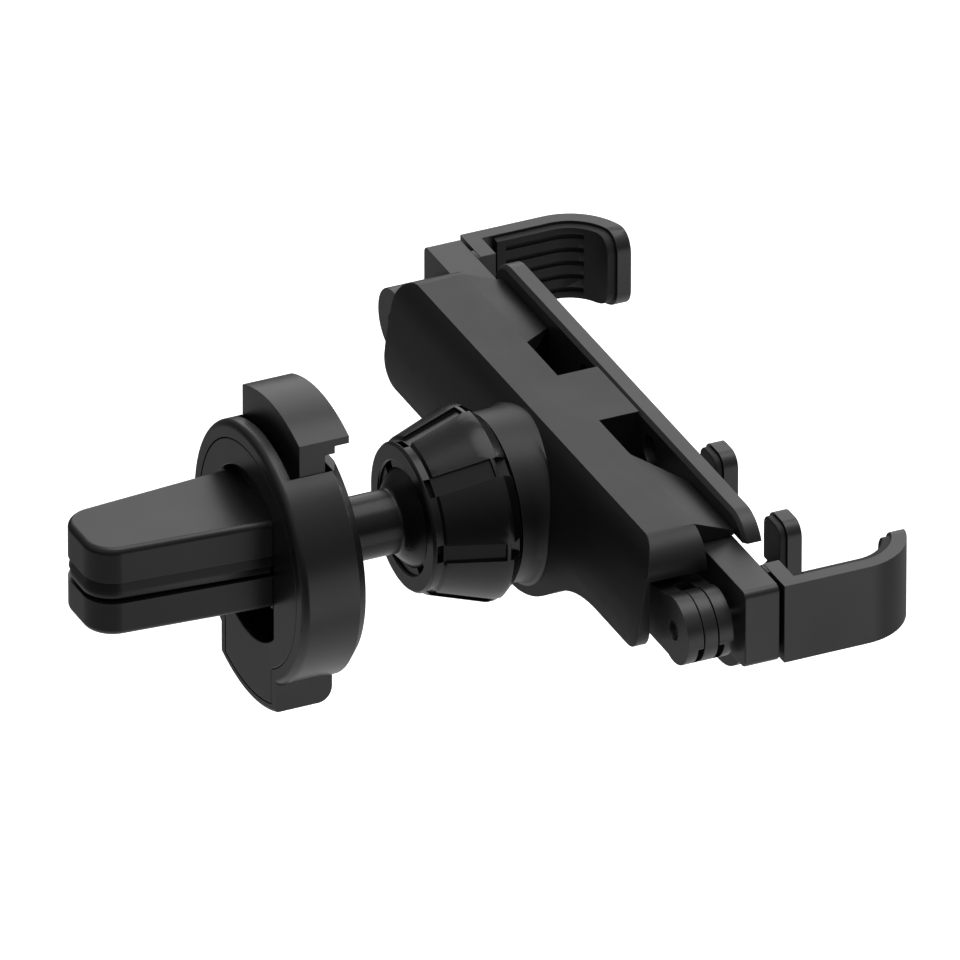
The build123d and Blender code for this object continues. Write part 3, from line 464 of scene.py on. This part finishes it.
def addJawLip():
    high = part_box(jawEdge["node"])[0][2]
    low = high - jawEdge["lipHeight"]
    outer, inner = jawOutline(jawEdge["lipOuter"]), jawOutline(jawEdge["lipInner"])
    shape = bmesh.new()
    rings = [[shape.verts.new((x, y, z)) for x, y in line]
             for line, z in ((outer, high), (outer, low), (inner, low), (inner, high))]
    for here, after in zip(rings, rings[1:] + rings[:1]):
        for number in range(len(outer) - 1):
            shape.faces.new((here[number], here[number + 1], after[number + 1], after[number]))
    shape.faces.new([ring[0] for ring in rings])
    shape.faces.new([ring[-1] for ring in reversed(rings)])
    bmesh.ops.recalc_face_normals(shape, faces=shape.faces)
    mesh = bpy.data.meshes.new("jaw_lip")
    shape.to_mesh(mesh)
    shape.free()
    piece = addObject("jaw_lip", mesh)
    addRounding(piece, jawEdge["lipRounding"])
    mesh = settle(piece)
    markSharp(mesh)
    mesh.materials.clear()
    mesh.materials.append(materials["jaw_plastic"])
    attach(piece, bodyOf[jawEdge["node"]])


addJawLip()
print("jaw lip ready")

# Rounded rubber ribs on the phone rest, one above each land of the pad
restRibs = {
    "node": "rest_pad", "count": 7, "length": 0.0400, "radius": 0.00062, "sink": 0.00035,
    "alongPoints": 17, "roundPoints": 12,
    # Place along a rib, and the share of its radius there
    "swell": [(0.0, 0.05), (0.03, 0.55), (0.08, 0.90), (0.15, 1.0), (0.85, 1.0), (0.92, 0.90), (0.97, 0.55),
              (1.0, 0.05)],
}
ribInputs = {
    "Count": "NodeSocketInt", "Pitch": "NodeSocketFloat", "Length": "NodeSocketFloat",
    "Radius": "NodeSocketFloat", "Start": "NodeSocketVector", "Material": "NodeSocketMaterial",
}


def makeRibTree():
    # A row of bars along X, one pitch apart in Z, each swept with a radius that shrinks at its ends
    tree = bpy.data.node_groups.new("rubberRibs", "GeometryNodeTree")
    addSocket(tree, "Geometry", "OUTPUT", "NodeSocketGeometry")
    ids = {name: addSocket(tree, name, "INPUT", kind).identifier for name, kind in ribInputs.items()}
    make, link = tree.nodes.new, tree.links.new
    into, out = make("NodeGroupInput"), make("NodeGroupOutput")
    step, row = make("ShaderNodeCombineXYZ"), make("GeometryNodeMeshLine")
    link(into.outputs["Pitch"], step.inputs["Z"])
    link(into.outputs["Count"], row.inputs["Count"])
    link(step.outputs[0], row.inputs["Offset"])
    link(into.outputs["Start"], row.inputs["Start Location"])
    # Each bar reaches half its length either way
    line, points = make("GeometryNodeCurvePrimitiveLine"), make("GeometryNodeResampleCurve")
    for end, side in (("Start", -0.5), ("End", 0.5)):
        reach, spot = make("ShaderNodeMath"), make("ShaderNodeCombineXYZ")
        reach.operation = "MULTIPLY"
        reach.inputs[1].default_value = side
        link(into.outputs["Length"], reach.inputs[0])
        link(reach.outputs[0], spot.inputs["X"])
        link(spot.outputs[0], line.inputs[end])
    points.inputs["Count"].default_value = restRibs["alongPoints"]
    link(line.outputs["Curve"], points.inputs["Curve"])
    along, swell = make("GeometryNodeSplineParameter"), make("ShaderNodeFloatCurve")
    curve, shares = swell.mapping.curves[0], restRibs["swell"]
    for place, share in shares[1:-1]:
        curve.points.new(place, share)
    curve.points[0].location, curve.points[-1].location = shares[0], shares[-1]
    swell.mapping.update()
    link(along.outputs["Factor"], swell.inputs["Value"])
    ring, sweep = make("GeometryNodeCurvePrimitiveCircle"), make("GeometryNodeCurveToMesh")
    ring.inputs["Resolution"].default_value = restRibs["roundPoints"]
    sweep.inputs["Fill Caps"].default_value = True
    link(into.outputs["Radius"], ring.inputs["Radius"])
    link(points.outputs["Curve"], sweep.inputs["Curve"])
    link(ring.outputs["Curve"], sweep.inputs["Profile Curve"])
    link(swell.outputs["Value"], sweep.inputs["Scale"])
    spread, real = make("GeometryNodeInstanceOnPoints"), make("GeometryNodeRealizeInstances")
    paint = make("GeometryNodeSetMaterial")
    link(row.outputs["Mesh"], spread.inputs["Points"])
    link(sweep.outputs["Mesh"], spread.inputs["Instance"])
    link(spread.outputs["Instances"], real.inputs["Geometry"])
    link(real.outputs["Geometry"], paint.inputs["Geometry"])
    link(into.outputs["Material"], paint.inputs["Material"])
    link(paint.outputs["Geometry"], out.inputs["Geometry"])
    return tree, ids


def addRestRibs():
    node = restRibs["node"]
    low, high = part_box(node)
    pitch = (high[2] - low[2]) / restRibs["count"]
    piece = addObject("rest_ribs", bpy.data.meshes.new("rest_ribs"))
    ribs = piece.modifiers.new("ribs", "NODES")
    ribs.node_group, ids = makeRibTree()
    ribs[ids["Count"]], ribs[ids["Pitch"]] = restRibs["count"], pitch
    ribs[ids["Length"]], ribs[ids["Radius"]] = restRibs["length"], restRibs["radius"]
    ribs[ids["Start"]] = (0.0, low[1] + restRibs["sink"], low[2] + pitch / 2)
    ribs[ids["Material"]] = materials[slotOf[node]]
    mesh = settle(piece)
    # Doubles are merged, and the faces turned outwards
    shape = bmesh.new()
    shape.from_mesh(mesh)
    bmesh.ops.remove_doubles(shape, verts=shape.verts, dist=rounding["weld"])
    bmesh.ops.recalc_face_normals(shape, faces=shape.faces)
    shape.to_mesh(mesh)
    shape.free()
    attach(piece, bodyOf[node])


addRestRibs()
print("rest ribs:", restRibs["count"])
